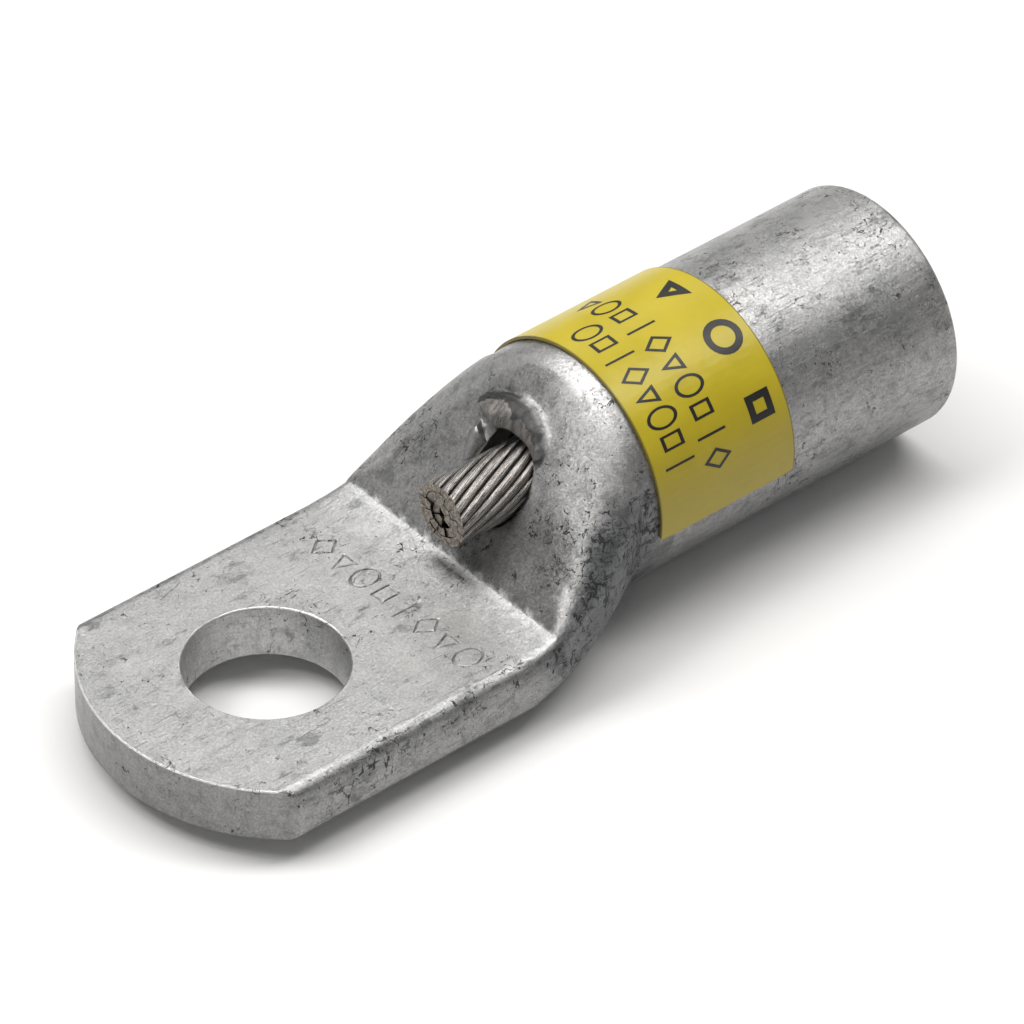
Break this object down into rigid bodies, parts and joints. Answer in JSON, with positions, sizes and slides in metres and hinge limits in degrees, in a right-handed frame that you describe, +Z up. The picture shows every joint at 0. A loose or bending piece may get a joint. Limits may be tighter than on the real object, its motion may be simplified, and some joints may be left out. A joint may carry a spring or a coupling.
{
  "type": "cable lug",
  "caption": "Compression cable lug with flat palm, stud hole, pressed ramp, closed bore, wrap-round label and a cut stranded conductor standing out of the ramp.",
  "frame": {"origin": "centre of the stud hole on the palm's contact face (its underside)", "axes": "+X from the stud hole along the lug to the barrel's open mouth, +Z up out of the palm, square to it"},
  "size_m": [0.0652, 0.0226, 0.0179],
  "materials": {
    "tinned_aluminium": "satin, tin-plated, finely pitted and scratched",
    "label_film": "semi-gloss printed film",
    "strand_wire": "bright drawn wire, dull sheared end"
  },
  "bodies": {
    "root": {"lug_body": "tinned_aluminium", "barrel_label": "label_film", "core_strand": "strand_wire", "inner_strand_01": "strand_wire", "inner_strand_02": "strand_wire", "inner_strand_03": "strand_wire", "inner_strand_04": "strand_wire", "inner_strand_05": "strand_wire", "inner_strand_06": "strand_wire", "middle_strand_01": "strand_wire", "middle_strand_02": "strand_wire", "middle_strand_03": "strand_wire", "middle_strand_04": "strand_wire", "middle_strand_05": "strand_wire", "middle_strand_06": "strand_wire", "middle_strand_07": "strand_wire", "middle_strand_08": "strand_wire", "middle_strand_09": "strand_wire", "middle_strand_10": "strand_wire", "middle_strand_11": "strand_wire", "middle_strand_12": "strand_wire", "outer_strand_01": "strand_wire", "outer_strand_02": "strand_wire", "outer_strand_03": "strand_wire", "outer_strand_04": "strand_wire", "outer_strand_05": "strand_wire", "outer_strand_06": "strand_wire", "outer_strand_07": "strand_wire", "outer_strand_08": "strand_wire", "outer_strand_09": "strand_wire", "outer_strand_10": "strand_wire", "outer_strand_11": "strand_wire", "outer_strand_12": "strand_wire", "outer_strand_13": "strand_wire", "outer_strand_14": "strand_wire", "outer_strand_15": "strand_wire", "outer_strand_16": "strand_wire", "outer_strand_17": "strand_wire", "outer_strand_18": "strand_wire"}
  },
  "joints": []
}
